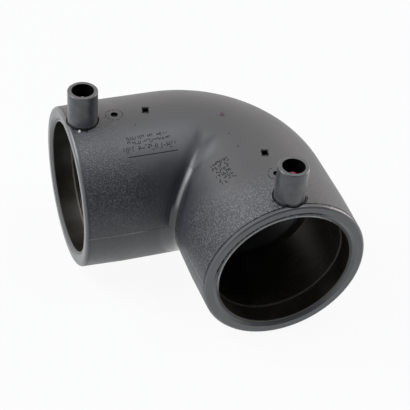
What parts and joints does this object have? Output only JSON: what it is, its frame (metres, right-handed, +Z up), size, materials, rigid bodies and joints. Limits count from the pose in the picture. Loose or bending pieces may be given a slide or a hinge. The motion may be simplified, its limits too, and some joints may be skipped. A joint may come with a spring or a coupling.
{
  "type": "electrofusion elbow",
  "caption": "Ninety degree polyethylene elbow whose sockets are welded onto pipe by a built-in heating coil fed through shrouded terminals.",
  "frame": {"origin": "under the middle of the fitting, on the surface that it lies on", "axes": "+Z up along the terminal towers; the left socket opens towards -X and the right socket towards -Y"},
  "size_m": [0.1208, 0.1208, 0.0949],
  "materials": {
    "shell": "moulded polyethylene with a fine grain, dark grey",
    "carrier": "smooth polyethylene over a close winding",
    "terminal": "tinned brass",
    "wire": "drawn copper alloy wire",
    "coding": "pinkish red moulded plastic",
    "indicator": "moulded polyethylene"
  },
  "bodies": {
    "root": {"elbow_body": "shell", "coil_carrier_left": "carrier", "coil_carrier_right": "carrier", "link_wire": "wire", "terminal_pin_left": "terminal", "terminal_pin_right": "terminal", "coding_plug": "coding", "fusion_indicator_left": "indicator", "fusion_indicator_right": "indicator"}
  },
  "joints": []
}
